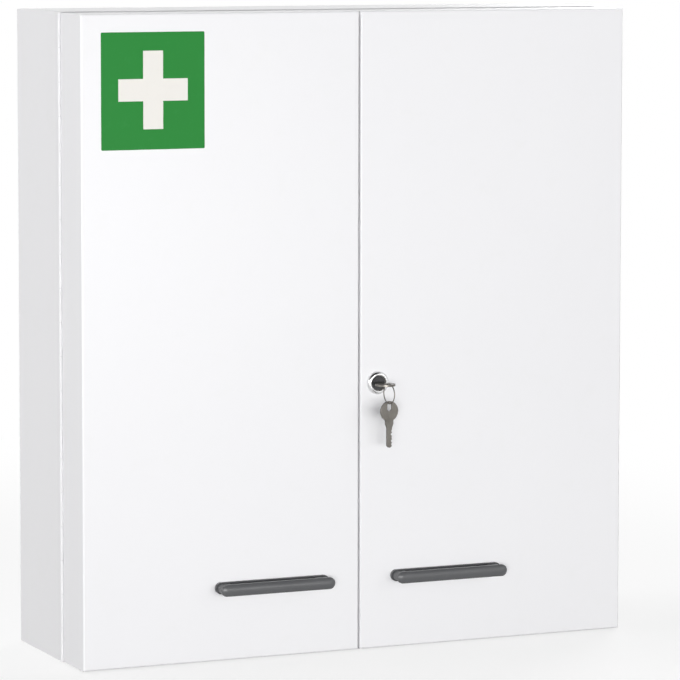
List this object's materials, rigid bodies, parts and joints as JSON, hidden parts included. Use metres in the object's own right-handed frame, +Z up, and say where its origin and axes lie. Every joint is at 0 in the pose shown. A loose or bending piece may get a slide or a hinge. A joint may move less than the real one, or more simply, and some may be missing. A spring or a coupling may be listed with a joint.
{
  "type": "lockable medicine cabinet",
  "caption": "Wall-hung white steel medicine cabinet with deep hinged doors, inner shelves and door trays, dark bar handles, a cam lock with keys and a first-aid cross.",
  "frame": {"origin": "centre of the cabinet's underside, in the middle of its width and of the wall box's depth", "axes": "+X to the right as seen from the front, +Y from the doors to the wall, +Z up"},
  "size_m": [0.5548, 0.2096, 0.6],
  "materials": {
    "white_enamel": "satin white enamel on sheet steel",
    "door_enamel": "satin white enamel on sheet steel",
    "hinge_enamel": "satin white enamel on the hinge's leaves",
    "zinc_steel": "zinc plated steel",
    "bolt_chrome": "polished",
    "lock_chrome": "polished",
    "plug_dark": "dark lacquered",
    "key_nickel": "nickel plated, warm grey",
    "handle_plastic": "moulded dark grey",
    "catch_plastic": "moulded off-white",
    "ferrite": "magnet with steel pole plates",
    "stop_rubber": "matt black",
    "sign_vinyl": "self-adhesive green and white vinyl"
  },
  "bodies": {
    "cabinet": {"left_side_panel": "white_enamel", "right_side_panel": "white_enamel", "top_panel": "white_enamel", "bottom_panel": "white_enamel", "back_panel": "white_enamel", "left_front_rail": "zinc_steel", "left_rear_rail": "zinc_steel", "right_front_rail": "zinc_steel", "right_rear_rail": "zinc_steel", "upper_shelf": "white_enamel", "lower_shelf": "white_enamel", "upper_shelf_clips": "zinc_steel", "lower_shelf_clips": "zinc_steel", "left_hinge_frame_leaf": "hinge_enamel", "left_hinge_pin": "zinc_steel", "right_hinge_frame_leaf": "hinge_enamel", "right_hinge_pin": "zinc_steel", "left_catch_body": "catch_plastic", "left_catch_magnet": "ferrite", "right_catch_body": "catch_plastic", "right_catch_magnet": "ferrite", "catch_screws": "zinc_steel", "door_stops": "stop_rubber"},
    "left_door": {"left_door_shell": "door_enamel", "left_door_lower_tray": "white_enamel", "left_door_middle_tray": "white_enamel", "left_door_upper_tray": "white_enamel", "left_hinge_door_leaf": "hinge_enamel", "left_handle": "handle_plastic", "left_handle_screws": "zinc_steel", "left_strike_plate": "zinc_steel", "lock_keeper": "zinc_steel", "bolt_guide": "zinc_steel"},
    "door_bolt": {"door_bolt": "bolt_chrome"},
    "right_door": {"right_door_shell": "door_enamel", "right_door_lower_tray": "white_enamel", "right_door_middle_tray": "white_enamel", "right_door_upper_tray": "white_enamel", "right_hinge_door_leaf": "hinge_enamel", "right_handle": "handle_plastic", "right_handle_screws": "zinc_steel", "right_strike_plate": "zinc_steel", "lock_barrel": "lock_chrome", "lock_washer": "zinc_steel", "lock_nut": "zinc_steel"},
    "lock_plug": {"lock_plug": "plug_dark", "lock_cam": "zinc_steel", "cam_screw": "zinc_steel"},
    "door_key": {"door_key": "key_nickel"},
    "key_ring": {"key_ring": "key_nickel"},
    "spare_key": {"spare_key": "key_nickel"}
  },
  "joints": [
    {"name": "left_door_hinge", "type": "hinge", "parent": "cabinet", "child": "left_door", "pos_m": [-0.27578, -0.0599, 0.3], "axis": [0, 0, -1], "range_deg": [0, 170]},
    {"name": "right_door_hinge", "type": "hinge", "parent": "cabinet", "child": "right_door", "pos_m": [0.27578, -0.0599, 0.3], "axis": [0, 0, 1], "range_deg": [0, 170]},
    {"name": "door_bolt_slide", "type": "slide", "parent": "left_door", "child": "door_bolt", "axis": [0, 0, 1], "range_m": [0, 0.009]},
    {"name": "lock_turn", "type": "hinge", "parent": "right_door", "child": "lock_plug", "pos_m": [0.0185, -0.105, 0.252], "axis": [0, -1, 0], "range_deg": [0, 90]},
    {"name": "door_key_pull", "type": "slide", "parent": "lock_plug", "child": "door_key", "axis": [0, -1, 0], "range_m": [0, 0.02]},
    {"name": "key_ring_swing", "type": "hinge", "parent": "door_key", "child": "key_ring", "pos_m": [0.0185, -0.14095, 0.252], "axis": [0.9903, 0.1392, 0], "range_deg": [-30, 8]},
    {"name": "spare_key_swing", "type": "hinge", "parent": "key_ring", "child": "spare_key", "pos_m": [0.0185, -0.14095, 0.23538], "axis": [-0.1392, 0.9903, 0], "range_deg": [-60, 60]}
  ]
}
